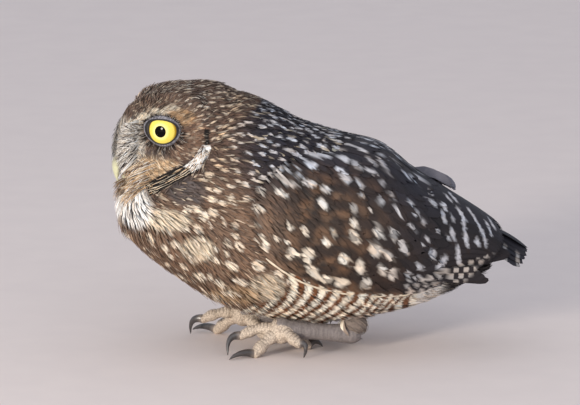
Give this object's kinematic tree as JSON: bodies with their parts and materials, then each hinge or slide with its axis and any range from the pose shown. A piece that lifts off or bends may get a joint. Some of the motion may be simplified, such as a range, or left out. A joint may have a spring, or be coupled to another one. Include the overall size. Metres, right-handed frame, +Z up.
{
  "type": "burrowing owl, still life-size model",
  "caption": "Burrowing owl, life size, crouched low on its feet with wings folded and head turned a little to its left.",
  "frame": {"origin": "on the floor, under the middle of the owl's length and width", "axes": "+Z up; the owl faces -X with its tail towards +X; its left side is at -Y"},
  "size_m": [0.2153, 0.0986, 0.1413],
  "materials": {
    "brown_plumage": "matt feathers",
    "pale_plumage": "matt feathers",
    "dark_vane": "satin feathers",
    "bill_horn": "satin horn",
    "eye": "wet and glossy",
    "foot_skin": "matt scaly skin",
    "claw": "satin horn"
  },
  "bodies": {
    "root": {"bill_lower": "bill_horn", "bill_upper": "bill_horn", "claw_1_left": "claw", "claw_1_right": "claw", "claw_2_left": "claw", "claw_2_right": "claw", "claw_3_left": "claw", "claw_3_right": "claw", "claw_4_left": "claw", "claw_4_right": "claw", "eye_left": "eye", "eye_right": "eye", "foot_left": "foot_skin", "foot_right": "foot_skin", "head": "brown_plumage", "neck": "pale_plumage", "scapulars_left": "dark_vane", "scapulars_right": "dark_vane", "shank_left": "foot_skin", "shank_right": "foot_skin", "tail": "dark_vane", "thigh_left": "brown_plumage", "thigh_right": "brown_plumage", "toe_1_left": "foot_skin", "toe_1_right": "foot_skin", "toe_2_left": "foot_skin", "toe_2_right": "foot_skin", "toe_3_left": "foot_skin", "toe_3_right": "foot_skin", "toe_4_left": "foot_skin", "toe_4_right": "foot_skin", "torso": "brown_plumage", "wing_coverts_left": "dark_vane", "wing_coverts_right": "dark_vane", "wing_primaries_left": "dark_vane", "wing_primaries_right": "dark_vane", "wing_secondaries_left": "dark_vane", "wing_secondaries_right": "dark_vane"}
  },
  "joints": []
}
